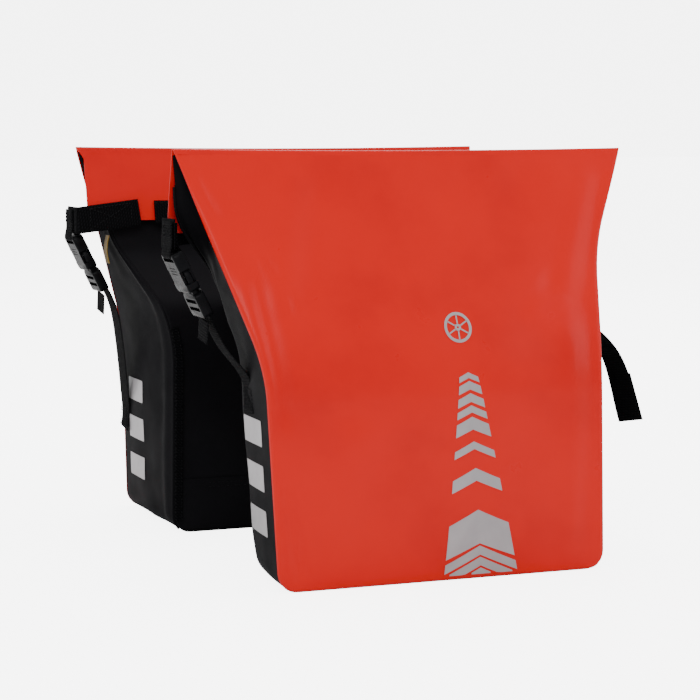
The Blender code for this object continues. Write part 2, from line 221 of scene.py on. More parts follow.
def flap_across(z):
    slope = (FOLD_ACROSS - 0.0035 - FLAP_BOTTOM_ACROSS) / (HEIGHT - 0.0005 - FLAP_BOTTOM_Z)
    return FLAP_BOTTOM_ACROSS + (z - FLAP_BOTTOM_Z) * slope


def crease(x, z, start, end, width, depth):
    """Height of a soft crease: a groove with a ridge beside it, fading out at both ends."""
    run_x = end[0] - start[0]
    run_z = end[1] - start[1]
    length = math.hypot(run_x, run_z)
    along = ((x - start[0]) * run_x + (z - start[1]) * run_z) / length**2
    off = ((x - start[0]) * run_z - (z - start[1]) * run_x) / length
    fade = ease(along * 4 + 0.5) * ease((1 - along) * 4 + 0.5)
    groove = math.exp(-((off / width) ** 2))
    ridge = 0.7 * math.exp(-(((off - 1.9 * width) / width) ** 2))
    return depth * fade * (ridge - groove)


def roll(distance, radius):
    """How far a rolled edge stands back at a distance from the edge."""
    if distance >= radius:
        return 0.0
    return radius - math.sqrt(max(radius**2 - (radius - distance) ** 2, 0.0))


def roll_steps(radius, steps=5):
    return [radius * (1 - math.cos(math.radians(90) * step / steps)) for step in range(steps + 1)]


def rolled_columns(rear, front, radius, steps):
    """Places along a panel, closer together in its two rolled edges."""
    edge = roll_steps(radius)
    middle = spread(rear + radius, front - radius, steps)[1:-1]
    return [rear + d for d in edge] + middle + [front - d for d in reversed(edge)]


# --- mesh building ---


def new_object(name, mesh):
    obj = bpy.data.objects.new(name, mesh)
    bpy.context.scene.collection.objects.link(obj)
    return obj


def bake(obj):
    """Replaces the mesh by what its modifiers make of it."""
    graph = bpy.context.evaluated_depsgraph_get()
    mesh = bpy.data.meshes.new_from_object(obj.evaluated_get(graph), depsgraph=graph)
    old = obj.data
    obj.modifiers.clear()
    obj.data = mesh
    bpy.data.meshes.remove(old)
    return obj


def shade(obj, angle=40):
    obj.data.shade_smooth()
    obj.data.set_sharp_from_angle(angle=math.radians(angle))


def face_outwards(mesh):
    work = bmesh.new()
    work.from_mesh(mesh)
    bmesh.ops.recalc_face_normals(work, faces=work.faces)
    work.to_mesh(mesh)
    work.free()


def box_map(mesh):
    """A UV map in metres for small solid pieces."""
    layer = mesh.uv_layers.new(name="UVMap")
    for loop in mesh.loops:
        point = mesh.vertices[loop.vertex_index].co
        layer.data[loop.index].uv = (point.x + point.y, point.z)


def grid(name, rows, facing):
    """A grid of points as a mesh, turned towards facing, with a UV map in metres."""
    wide = len(rows[0])
    middle = wide // 2
    places = []
    distance_up = 0.0
    for index, row in enumerate(rows):
        if index:
            distance_up += (row[middle] - rows[index - 1][middle]).length
        run = [0.0]
        for left, right in zip(row, row[1:]):
            run.append(run[-1] + (right - left).length)
        places.extend((value - run[middle], distance_up) for value in run)
    faces = []
    for line in range(len(rows) - 1):
        for step in range(wide - 1):
            corner = line * wide + step
            faces.append((corner, corner + 1, corner + wide + 1, corner + wide))
    mesh = bpy.data.meshes.new(name)
    mesh.from_pydata([tuple(point) for row in rows for point in row], [], faces)
    total = sum((face.normal * face.area for face in mesh.polygons), Vector())
    if total.dot(Vector(facing)) < 0:
        mesh.flip_normals()
    layer = mesh.uv_layers.new(name="UVMap")
    for loop in mesh.loops:
        layer.data[loop.index].uv = places[loop.vertex_index]
    return new_object(name, mesh)


def fabric(name, rows, facing, thickness, grow=-1):
    """A sheet with a real thickness and closed edges."""
    obj = grid(name, rows, facing)
    thicken = obj.modifiers.new("Thickness", "SOLIDIFY")
    thicken.thickness = thickness
    thicken.offset = grow
    bake(obj)
    shade(obj)
    return obj


def through(points, steps=6):
    """A smooth curve through given points (Catmull-Rom)."""
    points = [Vector(point) for point in points]
    padded = [points[0] * 2 - points[1], *points, points[-1] * 2 - points[-2]]
    curve = []
    for before, start, end, after in zip(padded, padded[1:], padded[2:], padded[3:]):
        for step in range(steps):
            t = step / steps
            slope = (end - before) * t
            bend = (2 * before - 5 * start + 4 * end - after) * t**2
            turn = (3 * start - before - 3 * end + after) * t**3
            curve.append(start + (slope + bend + turn) / 2)
    curve.append(points[-1])
    return curve


def sweep(name, path, across, outline, twist=0.0):
    """Sweeps a closed outline of (across, normal) points along a path and closes both ends."""
    across = Vector(across)
    count = len(outline)
    verts = []
    places = []
    travelled = 0.0
    for index, point in enumerate(path):
        before = path[max(index - 1, 0)]
        after = path[min(index + 1, len(path) - 1)]
        tangent = (after - before).normalized()
        side = (across - tangent * across.dot(tangent)).normalized()
        side.rotate(Matrix.Rotation(twist * index / (len(path) - 1), 3, tangent))
        normal = tangent.cross(side)
        if index:
            travelled += (point - path[index - 1]).length
        for a, b in outline:
            verts.append(point + side * a + normal * b)
            places.append((a, travelled))
    faces = [tuple(reversed(range(count)))]
    for line in range(len(path) - 1):
        for step in range(count):
            ahead = (step + 1) % count
            base = line * count
            faces.append((base + step, base + ahead, base + count + ahead, base + count + step))
    faces.append(tuple(range(len(verts) - count, len(verts))))
    mesh = bpy.data.meshes.new(name)
    mesh.from_pydata([tuple(v) for v in verts], [], faces)
    layer = mesh.uv_layers.new(name="UVMap")
    for loop in mesh.loops:
        layer.data[loop.index].uv = places[loop.vertex_index]
    face_outwards(mesh)
    obj = new_object(name, mesh)
    shade(obj, 50)
    return obj


def webbing(name, path, across, width=WEB_WIDTH, thickness=WEB, twist=0.0):
    """A woven strap: flat, with soft selvedges, and turned by twist towards its end."""
    half = width / 2
    ratios = [math.sin(math.radians(90) * ratio) for ratio in spread(-1.0, 1.0, 10)]
    tops = [(half * r, thickness / 2 * math.sqrt(1 - abs(r) ** 7)) for r in ratios]
    outline = tops + [(a, -b) for a, b in reversed(tops[1:-1])]
    return sweep(name, path, across, outline, twist)


def cord_line(name, path, across, radius):
    outline = [(radius * math.cos(math.tau * k / 8), radius * math.sin(math.tau * k / 8)) for k in range(8)]
    return sweep(name, path, across, outline)


STITCH_PITCH = 0.0034
STITCH_LENGTH = 0.0025
STITCH_RADIUS = 0.00032


def stitches(name, lines):
    """Rows of raised stitches as one mesh. Each line is (points, normal)."""
    verts = []
    faces = []
    for points, normal in lines:
        normal = Vector(normal).normalized()
        spare = 0.0
        for start, end in zip(points, points[1:]):
            run = end - start
            length = run.length
            at = spare
            while at + STITCH_LENGTH <= length:
                add_stitch(verts, faces, start + run * (at / length), run.normalized(), normal)
                at += STITCH_PITCH
            spare = max(at - length, 0.0)
    mesh = bpy.data.meshes.new(name)
    mesh.from_pydata([tuple(v) for v in verts], [], faces)
    box_map(mesh)
    face_outwards(mesh)
    obj = new_object(name, mesh)
    obj.data.shade_smooth()
    return obj


def add_stitch(verts, faces, start, along, normal):
    side = along.cross(normal).normalized() * STITCH_RADIUS
    lift = normal * STITCH_RADIUS
    base = len(verts)
    verts.append(start)
    for share in (0.22, 0.78):
        centre = start + along * STITCH_LENGTH * share
        verts.extend((centre + side, centre + lift, centre - side, centre - lift))
    verts.append(start + along * STITCH_LENGTH)
    for step in range(4):
        ahead = (step + 1) % 4
        faces.append((base, base + 1 + ahead, base + 1 + step))
        faces.append((base + 1 + step, base + 1 + ahead, base + 5 + ahead, base + 5 + step))
        faces.append((base + 9, base + 5 + step, base + 5 + ahead))


def box_lines(centre, along, across, normal, length, width):
    """Stitch lines of a sewn box with a cross in it."""
    along = Vector(along).normalized() * length / 2
    across = Vector(across).normalized() * width / 2
    one, other = along + across, along - across
    corners = [centre + one, centre + other, centre - one, centre - other]
    return [
        (corners + corners[:1], normal),
        ([corners[0], corners[2]], normal),
        ([corners[1], corners[3]], normal),
    ]


def placed_block(name, work, matrix):
    """Turns a closed bmesh into an object at a matrix."""
    bmesh.ops.transform(work, matrix=matrix, verts=work.verts)
    bmesh.ops.recalc_face_normals(work, faces=work.faces)
    mesh = bpy.data.meshes.new(name)
    work.to_mesh(mesh)
    work.free()
    return new_object(name, mesh)


def solid_block(name, size, matrix, offset):
    work = bmesh.new()
    bmesh.ops.create_cube(work, size=1.0)
    bmesh.ops.scale(work, vec=Vector(size), verts=work.verts)
    bmesh.ops.translate(work, vec=Vector(offset), verts=work.verts)
    return placed_block(name, work, matrix)


def plate(name, outline, thickness, matrix, offset_x, mirrored=True):
    """A flat moulding: an outline of (y, z) points given a thickness along x. A mirrored outline is
    given as its half with y above 0, from the top down."""
    points = list(outline)
    if mirrored:
        points += [(-y, z) for y, z in reversed(outline)]
    work = bmesh.new()
    back = [work.verts.new((offset_x - thickness / 2, y, z)) for y, z in points]
    lid = [work.verts.new((offset_x + thickness / 2, y, z)) for y, z in points]
    work.faces.new(back)
    work.faces.new(lid)
    for index in range(len(points)):
        ahead = (index + 1) % len(points)
        work.faces.new((back[index], back[ahead], lid[ahead], lid[index]))
    return placed_block(name, work, matrix)


def mould(obj, edge, cutters=()):
    """Rounds a moulding's edges, cuts its openings and bakes the result."""
    soften = obj.modifiers.new("Soften", "BEVEL")
    soften.width = edge
    soften.segments = 3
    soften.limit_method = "ANGLE"
    soften.angle_limit = math.radians(35)
    for cutter in cutters:
        cut = obj.modifiers.new("Cut", "BOOLEAN")
        cut.operation = "DIFFERENCE"
        cut.solver = "EXACT"
        cut.object = cutter
    bake(obj)
    for cutter in cutters:
        bpy.data.objects.remove(cutter)
    box_map(obj.data)
    shade(obj, 32)
    return obj


def dress(obj, finish, nodes=()):
    """Gives a piece its material and hides the CAD nodes that it stands for."""
    obj.data.materials.clear()
    obj.data.materials.append(MATERIALS[finish])
    if nodes:
        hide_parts(*nodes)
    return obj


def fit(obj, finish, body, nodes=()):
    """Dresses a piece and lets it ride on one body."""
    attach(dress(obj, finish, nodes), body)


def sew(name, lines, body):
    fit(stitches(name, lines), "thread_black", body)


def follow_mouth(obj):
    """Bakes the piece's placement into its mesh."""
    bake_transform(obj)


# --- materials ---


MATERIALS = {}


class Graph:
    """Short names for building one material's nodes."""

    def __init__(self, name, uv=True):
        self.material = bpy.data.materials.new(name)
        self.material.use_nodes = True
        self.tree = self.material.node_tree
        self.shader = self.tree.nodes["Principled BSDF"]
        source = self.tree.nodes.new("ShaderNodeTexCoord")
        self.where = source.outputs["UV" if uv else "Object"]
        MATERIALS[name] = self.material

    def set(self, **values):
        for key, value in values.items():
            self.shader.inputs[key.replace("_", " ")].default_value = value

    def link(self, source, target):
        self.tree.links.new(source, target)

    def add(self, kind, vector=None, **values):
        node = self.tree.nodes.new(f"ShaderNode{kind}")
        for key, value in values.items():
            node.inputs[key.replace("_", " ")].default_value = value
        if vector is not None:
            self.link(vector, node.inputs["Vector"])
        return node

    def noise(self, scale, detail=3.0):
        return self.add("TexNoise", self.where, Scale=scale, Detail=detail).outputs["Fac"]

    def wave(self, pitch, direction, distortion=0.0, flat=False):
        """Even bands. At scale 1 Blender's bands repeat every tau / 20. A flat pattern leaves Z out."""
        where = self.where
        if flat:
            where = self.add("Mapping", where, Scale=(1, 1, 0)).outputs["Vector"]
        node = self.add("TexWave", where, Scale=math.tau / (20 * pitch), Distortion=distortion)
        node.wave_type = "BANDS"
        node.bands_direction = direction
        return node.outputs["Fac"]

    def cells(self, pitch):
        return self.add("TexVoronoi", self.where, Scale=1 / pitch).outputs["Distance"]

    def math(self, operation, first, second):
        node = self.add("Math")
        node.operation = operation
        self.link(first, node.inputs[0])
        self.link(second, node.inputs[1])
        return node.outputs["Value"]

    def span(self, value, low, high, start=0.2, stop=0.8):
        """Maps a texture value onto a range of numbers."""
        node = self.add("MapRange", From_Min=start, From_Max=stop, To_Min=low, To_Max=high)
        self.link(value, node.inputs["Value"])
        return node.outputs["Result"]

    def colours(self, value, *stops):
        """Sets the base colour from (position, colour) stops along a texture value."""
        node = self.add("ValToRGB")
        ramp = node.color_ramp
        while len(ramp.elements) < len(stops):
            ramp.elements.new(0.5)
        for element, (position, colour) in zip(ramp.elements, stops):
            element.position = position
            element.color = (*colour, 1.0)
        self.link(value, node.inputs["Fac"])
        self.link(node.outputs["Color"], self.shader.inputs["Base Color"])

    def roughness(self, value, low, high):
        self.link(self.span(value, low, high), self.shader.inputs["Roughness"])

    def bump(self, *layers):
        """Stacks bumps given as (height texture, depth in metres)."""
        previous = None
        for height, depth in layers:
            node = self.add("Bump", Distance=depth)
            self.link(height, node.inputs["Height"])
            if previous is not None:
                self.link(previous, node.inputs["Normal"])
            previous = node.outputs["Normal"]
        self.link(previous, self.shader.inputs["Normal"])


def tarpaulin(name, colours, roughness, coat, specular):
    """Coated scrim fabric: a smooth skin with slow colour drift, a faint grid of yarns and fine scuffs."""
    graph = Graph(name)
    graph.set(Coat_Weight=coat, Coat_Roughness=0.12, Specular_IOR_Level=specular)
    graph.colours(graph.noise(9.0, 4.0), *zip((0.25, 0.5, 0.8), colours))
    graph.roughness(graph.noise(38.0, 5.0), *roughness)
    yarns = graph.math("ADD", graph.wave(0.0011, "X", 0.4), graph.wave(0.0011, "Y", 0.4))
    graph.bump((graph.noise(14.0, 1.0), 0.0008), (graph.noise(420.0, 2.0), 0.00004), (yarns, 0.00002))


def make_materials():
    reds = (0.52, 0.0025, 0.0005), (0.62, 0.0035, 0.001), (0.66, 0.006, 0.0015)
    tarpaulin("tarpaulin_red", reds, (0.26, 0.34), 0.07, 0.16)
    blacks = (0.0050, 0.0048, 0.0056), (0.0070, 0.0067, 0.0077), (0.0095, 0.0092, 0.0104)
    tarpaulin("tarpaulin_black", blacks, (0.36, 0.48), 0.0, 0.006)

    graph = Graph("webbing_black")
    graph.set(Specular_IOR_Level=0.03)
    ribs = graph.wave(0.0024, "Y", 0.3)
    twill = graph.wave(0.0016, "DIAGONAL", 0.2, flat=True)
    weave = graph.math("MULTIPLY", ribs, twill)
    # The colour follows the weave's heights, darker in its valleys: painted shade between the yarns.
    graph.colours(weave, (0.0, (0.0015, 0.0015, 0.0018)), (1.0, (0.007, 0.007, 0.008)))
    graph.roughness(graph.noise(300.0), 0.6, 0.85)
    graph.bump((ribs, 0.00022), (twill, 0.00012))

    graph = Graph("thread_black")
    graph.set(Specular_IOR_Level=0.05)
    graph.colours(graph.noise(900.0), (0.3, (0.008, 0.008, 0.009)), (0.7, (0.016, 0.016, 0.017)))
    graph.roughness(graph.noise(700.0), 0.5, 0.7)
    graph.bump((graph.wave(0.0005, "DIAGONAL"), 0.00008))

    graph = Graph("buckle_black")
    graph.set(Specular_IOR_Level=0.05)
    graph.colours(graph.noise(60.0), (0.3, (0.003, 0.003, 0.0035)), (0.7, (0.006, 0.006, 0.007)))
    graph.roughness(graph.noise(110.0), 0.20, 0.34)
    graph.bump((graph.noise(1600.0, 2.0), 0.00004))

    graph = Graph("reflective_grey")
    graph.set(Metallic=0.15, Coat_Weight=0.3, Coat_Roughness=0.2)
    graph.colours(graph.noise(30.0), (0.3, (0.30, 0.28, 0.29)), (0.7, (0.38, 0.36, 0.37)))
    graph.roughness(graph.noise(200.0), 0.30, 0.45)
    graph.bump((graph.cells(0.0009), 0.00006))

    graph = Graph("board_black", uv=False)
    graph.colours(graph.noise(80.0), (0.3, (0.015, 0.015, 0.017)), (0.7, (0.028, 0.028, 0.030)))
    graph.roughness(graph.noise(150.0), 0.45, 0.62)
    graph.bump((graph.wave(0.004, "X"), 0.0004), (graph.noise(600.0), 0.0001))

    graph = Graph("lining_yellow")
    graph.set(Sheen_Weight=0.2)
    graph.colours(graph.noise(120.0), (0.3, (0.22, 0.12, 0.0)), (0.7, (0.30, 0.18, 0.0)))
    graph.roughness(graph.noise(200.0), 0.5, 0.7)
    weave = graph.math("MULTIPLY", graph.wave(0.0008, "X"), graph.wave(0.0008, "Y"))
    graph.bump((weave, 0.0001))


# --- the bag's shell ---


# Creases of the outer panel: start and end as (x, z), width and depth
CREASES = (
    ((-0.202, 0.350), (-0.176, 0.302), 0.0035, 0.0016),
    ((-0.200, 0.352), (-0.185, 0.336), 0.0022, 0.0009),
    ((-0.140, 0.268), (-0.133, 0.254), 0.0022, 0.0012),
    ((-0.122, 0.236), (-0.120, 0.225), 0.0018, 0.0009),
    ((-0.148, 0.250), (-0.136, 0.140), 0.0075, 0.0022),
    ((-0.136, 0.085), (-0.122, 0.015), 0.0060, 0.0018),
    ((0.138, 0.215), (0.136, 0.020), 0.0090, 0.0013),
    ((0.180, 0.330), (0.138, 0.225), 0.0100, 0.0010),
    ((0.105, 0.245), (0.148, 0.210), 0.0140, 0.0009),
    ((-0.080, 0.330), (-0.110, 0.215), 0.0160, 0.0012),
    ((-0.040, 0.120), (-0.065, 0.030), 0.0180, 0.0012),
)

# How far the folded top sags between its ends
SAG = 0.0018
SAG_HALF = 0.2025
SAG_MIDDLE_X = -0.003


def droop(x, z):
    """The folded top sags a little between its ends."""
    share = (x - SAG_MIDDLE_X) / SAG_HALF
    return SAG * max(1 - share * share, 0.0) * clamp(z / HEIGHT) ** 6


def outer_across(side, x, z):
    """Where the outer panel's face stands, with its fullness, its waves and its creases."""
    rear, front = -end_reach(side, "rear", z), end_reach(side, "front", z)
    share = clamp((x - rear) / (front - rear))
    edge = min(share, 1 - share) * (front - rear)
    calm = ease(edge / 0.030) * ease(z / 0.03) * ease((HEIGHT - z) / 0.03)
    full = 0.0
    if z < FULL_BELOW:
        full = math.sin(math.pi * share) ** 0.7 * math.sin(math.pi * clamp(z / FULL_BELOW) ** 0.8)
    seed = 11.0 if side == "right" else 47.0
    waves = WAVES * noise.noise(Vector((x * 7, z * 5, seed)))
    waves += RIPPLES * noise.noise(Vector((x * 26, z * 15, seed)))
    folds = sum(crease(x, z, *entry) for entry in CREASES)
    return outer_wall(z) + BULGE * full + waves * calm + folds * ease(edge / 0.010)


def seam_radius(z):
    """The outer panel's edges are rolled in along the gussets, and run out flat near the fold."""
    return 0.0004 + (SEAM_ROLL - 0.0004) * ease((HEIGHT - 0.012 - z) / 0.06)


def make_front_panel(side):
    heights = roll_steps(SEAM_ROLL) + spread(SEAM_ROLL, HEIGHT - SPLIT_BELOW_TOP, 84)[1:]
    rows = []
    for z in heights:
        radius = seam_radius(z)
        rear = -end_reach(side, "rear", z) + corner_pull(z)
        front = end_reach(side, "front", z) - corner_pull(z)
        row = []
        for x in rolled_columns(rear, front, radius, 96):
            inside = min(x - rear, front - x)
            back = math.hypot(max(radius - inside, 0.0), max(SEAM_ROLL - z, 0.0) * radius / SEAM_ROLL)
            across = outer_across(side, x, z) - roll(radius - min(back, radius), radius)
            row.append(place(side, x, across, z - droop(x, z)))
        rows.append(row)
    panel = fabric(f"{side}_front_panel", rows, (0, SIDES[side], 0), TARP)
    dress(panel, "tarpaulin_red", (f"{side}_outer_panel", f"{side}_outer_panel_top"))
    follow_mouth(panel)
    return panel


def fold_profile():
    """Points of the fold and the flap as (across, z), from the outer panel's top over to the flap's edge."""
    lean = math.atan2(OUTER - FOLD_ACROSS, HEIGHT - KNEE_Z)
    hang = math.atan2(flap_across(HEIGHT) - flap_across(FLAP_BOTTOM_Z), HEIGHT - FLAP_BOTTOM_Z)
    centre_z = HEIGHT - FOLD_RADIUS
    centre = level(OUTER_WALL, centre_z) - FOLD_RADIUS / math.cos(lean)
    split = HEIGHT - SPLIT_BELOW_TOP
    points = [(level(OUTER_WALL, z), z) for z in (split - 0.0006, split + 0.001)]
    for angle in spread(lean, math.pi - hang, 12):
        points.append((centre + FOLD_RADIUS * math.cos(angle), centre_z + FOLD_RADIUS * math.sin(angle)))
    low = points[-1][1] - 0.002
    points += [(flap_across(z), z) for z in spread(low, FLAP_BOTTOM_Z, 26)]
    return points


FLAP_INSET = {("left", "rear"): 0.0065}
EAR_TOP_Z = 0.3005
HEM_MARGIN = 0.071
HEM_RISE = 0.0075
HEM_WIDTH = 0.022


def flap_end(side, end, z):
    """How far the flap reaches: to the ear at its lower corners, to the bag's full width at the fold."""
    inset = FLAP_INSET.get((side, end), 0.0)
    full = end_reach(side, end, HEIGHT) - inset * ease((HEIGHT - z) / 0.012)
    ear = EAR_REACH[end] - inset
    return ear + (full - ear) * ease((z - EAR_TOP_Z) / (HEIGHT - EAR_TOP_Z))


def flap_face(side, x, across, z):
    """A point of the flap, with its slack."""
    down = clamp((HEIGHT - 0.006 - z) / (HEIGHT - FLAP_BOTTOM_Z))
    seed = 5.0 if side == "right" else 23.0
    edge = ease(min(x + flap_end(side, "rear", z), flap_end(side, "front", z) - x) / 0.05)
    slack = FLAP_HOLLOW * math.sin(math.pi * down)
    slack += FLAP_WAVES * noise.noise(Vector((x * 9, z * 8, seed))) * down
    fine = FLAP_RIPPLES * noise.noise(Vector((x * 33, z * 20, seed))) * down
    return place(side, x, across - (slack + fine) * (0.35 + 0.65 * edge), z - droop(x, z))


def make_flap(side):
    rows = []
    for across, z in fold_profile():
        reach = end_reach if across > FOLD_ACROSS - FOLD_RADIUS / 2 else flap_end
        rear, front = -reach(side, "rear", z), reach(side, "front", z)
        rows.append([flap_face(side, x, across, z) for x in spread(rear + 0.0003, front - 0.0003, 100)])
    flap = fabric(f"{side}_folded_flap", rows, (0, -SIDES[side], 0.2), TARP)
    dress(flap, "tarpaulin_red", (f"{side}_closing_flap",))
    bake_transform(flap)

    middle = FLAP_BOTTOM_Z + HEM_RISE
    across = flap_across(middle) - WEB * 0.9
    run = spread(HEM_MARGIN - EAR_REACH["rear"], EAR_REACH["front"] - HEM_MARGIN, 40)
    path = [flap_face(side, x, across, middle) for x in run]
    band = webbing(f"{side}_hem_webbing", path, (0, SIDES[side] * 0.22, 1), HEM_WIDTH)
    fit(band, "webbing_black", f"{side}_flap", (f"{side}_flap_band",))
    lines = []
    for shift in (-0.0085, 0.0085):
        lift = Vector((0, -SIDES[side] * WEB * 0.55, shift))
        lines.append(([point + lift for point in path], (0, -SIDES[side], 0)))
    sew(f"{side}_hem_stitches", lines, f"{side}_flap")


# How far the gussets are folded in at the top, and how far they stay behind the outer panel's creases
TUCK_IN = 0.022
TUCK_IN_LEFT_REAR = 0.003
BEHIND_FOLDS = 0.0026


def gusset_point(side, end, z, share):
    """A point of the end gusset. It is folded in between the panels towards the top."""
    low = inner_wall(min(z, NECK_TOP_Z)) + BACK_ROLL + 0.0002
    high = outer_wall(z) - seam_radius(z) - 0.0003 - BEHIND_FOLDS * ease((z - 0.255) / 0.050)
    x = end_x(side, end, z, share)
    belly = math.sin(math.pi * share)
    swell = GUSSET_SWELL * belly * ease(z / 0.05) * ease((0.24 - z) / 0.10)
    deep = TUCK_IN_LEFT_REAR if (side, end) == ("left", "rear") else TUCK_IN
    tuck_in = deep * ease((z - 0.240) / 0.11) * (1 - abs(2 * share - 1) ** 1.3)
    seed = 3.0 * ENDS[end] + 7.0 * SIDES[side]
    rough = WAVES * noise.noise(Vector((share * 3, z * 16, seed))) * belly
    ridge = GUSSET_RIDGE * math.exp(-(((share - 0.12) / 0.05) ** 2)) * ease(z / 0.02)
    x += ENDS[end] * (swell - tuck_in + rough + ridge - 0.0004)
    return place(side, x, low + (high - low) * share, z)


def gusset_stations():
    """Stations of the strip down the rear, along the bottom and up the front: (end, z, share of the way)."""
    arc = [CORNER_RADIUS * (1 - math.cos(math.radians(90) * step / 8)) for step in range(8)]
    heights = spread(0.350, CORNER_RADIUS, 66) + list(reversed(arc))
    rear = [("rear", z, None) for z in heights]
    front = [("front", z, None) for z in reversed(heights)]
    bottom = [(None, 0.0, share) for share in spread(0.0, 1.0, 20)[1:-1]]
    return rear + bottom + front


def make_gusset_strip(side):
    """The gussets and the base as one strip of fabric round the bag."""
    shares = spread(0.0, 1.0, 34)
    rows = []
    for end, z, along in gusset_stations():
        if end is None:
            rear = [gusset_point(side, "rear", 0.0, share) for share in shares]
            front = [gusset_point(side, "front", 0.0, share) for share in shares]
            rows.append([start.lerp(stop, along) for start, stop in zip(rear, front)])
        else:
            rows.append([gusset_point(side, end, z, share) for share in shares])
    strip = fabric(f"{side}_gusset_strip", rows, (0, 0, -1), TARP)
    dress(strip, "tarpaulin_black", (f"{side}_rear_gusset", f"{side}_front_gusset", f"{side}_base_panel"))
    follow_mouth(strip)
    return strip


def back_across(side, x, z):
    seed = 61.0 if side == "right" else 83.0
    free = ease((z - 0.200) / 0.03)
    waves = (STIFF_WAVES + FREE_WAVES * free) * noise.noise(Vector((x * 14, z * 12, seed)))
    return inner_wall(z) + waves * ease((NECK_TOP_Z - z) / 0.02)


def make_back_panel(side):
    heights = roll_steps(BACK_ROLL) + spread(BACK_ROLL, NECK_TOP_Z, 76)[1:]
    rows = []
    for z in heights:
        rear, front = end_x(side, "rear", z, 0.0), end_x(side, "front", z, 0.0)
        row = []
        for x in rolled_columns(rear, front, BACK_ROLL, 56):
            back = math.hypot(max(BACK_ROLL - min(x - rear, front - x), 0.0), max(BACK_ROLL - z, 0.0))
            across = back_across(side, x, z) + roll(BACK_ROLL - min(back, BACK_ROLL), BACK_ROLL)
            row.append(place(side, x, across, z))
        rows.append(row)
    panel = fabric(f"{side}_back_panel", rows, (0, -SIDES[side], 0), TARP)
    fit(panel, "tarpaulin_black", f"{side}_bag", (f"{side}_inner_panel",))


OVERLAY_TOP = 0.050
OVERLAY_THICK = 0.0009
STRIP_MIDDLE_Z = 0.1
STRIP_WIDTH = 0.0080
STRIP_THICK = 0.0018


def make_back_details(side):
    """The foot overlay, the sewn strip and the piped seams of the rack side."""
    bag = f"{side}_bag"
    sign = SIDES[side]
    rear = end_x(side, "rear", 0.03, 0.0) + BACK_ROLL
    front = end_x(side, "front", 0.03, 0.0) - BACK_ROLL
    rows = []
    for z in spread(BACK_ROLL + 0.001, OVERLAY_TOP, 10):
        columns = spread(rear + corner_pull(z), front - corner_pull(z), 40)
        rows.append([place(side, x, back_across(side, x, z) - PROUD, z) for x in columns])
    overlay = fabric(f"{side}_foot_overlay", rows, (0, -sign, 0), OVERLAY_THICK, grow=1)
    fit(overlay, "tarpaulin_black", bag)

    strip_x = sum(corner.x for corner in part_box(f"{side}_back_strip")) / 2
    low, high = (corner.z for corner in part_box(f"{side}_back_strip"))
    face = HALF_GAP - 0.0019
    shift = strip_x - end_x(side, "rear", STRIP_MIDDLE_Z, 0)
    path = [place(side, shift + end_x(side, "rear", z, 0), face, z) for z in spread(low, high, 30)]
    strip = webbing(f"{side}_stay_webbing", path, (1, 0, 0), STRIP_WIDTH, STRIP_THICK)
    fit(strip, "webbing_black", bag, (f"{side}_back_strip",))

    lift = Vector((0, -sign * WEB * 0.55, 0))
    lines = []
    for shift in (-0.0028, 0.0028):
        lines.append(([point + lift + Vector((shift, 0, 0)) for point in path], (0, -sign, 0)))
    z = OVERLAY_TOP - 0.004
    top = [place(side, x, back_across(side, x, z) - 0.0014, z) for x in spread(rear + 0.03, front, 30)]
    lines.append((top, (0, -sign, 0)))
    lines.append(([point + Vector((0, 0, -0.004)) for point in top], (0, -sign, 0)))
    sew(f"{side}_back_stitches", lines, bag)

    for end in ENDS:
        path = []
        for z in spread(0.004, NECK_TOP_Z - 0.002, 70):
            x = end_x(side, end, z, 0.0) + ENDS[end] * 0.0004
            path.append(place(side, x, inner_wall(z) + BACK_ROLL, z))
        fit(cord_line(f"{side}_{end}_back_welt", path, (0, 1, 0), 0.0013), "tarpaulin_black", bag)


# --- laid-on pieces ---


def surface_of(obj):
    work = bmesh.new()
    work.from_mesh(obj.data)
    tree = BVHTree.FromBMesh(work)
    work.free()
    return tree


def lay(tree, point, direction, lift):
    """The point moved along direction onto the surface, less a lift."""
    direction = Vector(direction)
    hit = tree.ray_cast(point - direction * 0.06, direction, 0.12)[0]
    return (hit if hit is not None else point) - direction * lift


def film(name, rows, tree, direction):
    """Reflective film laid on a panel."""
    rows = [[lay(tree, point, direction, PROUD * 0.6) for point in row] for row in rows]
    obj = fabric(name, rows, [-value for value in direction], FILM, grow=1)
    dress(obj, "reflective_grey")
    return obj


# Arrow heads of the column, from the top: (height of the point, thickness)
ARROWS = (
    (0.1730, 0.0047),
    (0.1660, 0.0070),
    (0.1560, 0.0072),
    (0.1460, 0.0060),
    (0.1365, 0.0106),
    (0.1160, 0.0064),
    (0.0938, 0.0106),
    (0.0588, 0.0285),
    (0.0284, 0.0078),
    (0.0188, 0.0074),
    (0.0096, 0.0060),
)
ARROW_SLOPE = 0.50
COLUMN_TOP_HALF = 0.0078
COLUMN_FLARE = 0.152
COLUMN_FOOT_Z = 0.0042


def column_x(z):
    return COLUMN_X + COLUMN_LEAN * (z - COLUMN_Z)


def column_half(z):
    return COLUMN_TOP_HALF + (ARROWS[0][0] - z) * COLUMN_FLARE


def make_column(side, tree):
    """A column of arrow heads that widens downwards and is cut off by the bottom seam."""
    inwards = (0, -SIDES[side], 0)
    for number, (top, thick) in enumerate(ARROWS, start=1):
        drop = ARROW_SLOPE * column_half(top)
        cut = clamp((top - COLUMN_FOOT_Z - 0.0012) / drop)
        rows = []
        for down in spread(0.0, 1.0, 5):
            row = []
            for share in spread(-cut, cut, 16):
                high = top - abs(share) * drop
                low = max(high - thick, COLUMN_FOOT_Z)
                z = high + (low - high) * down
                row.append(place(side, column_x(z) + column_half(z) * share, OUTER, z))
            rows.append(row)
        arrow = film(f"{side}_arrow_{number}", rows, tree, inwards)
        follow_mouth(arrow)


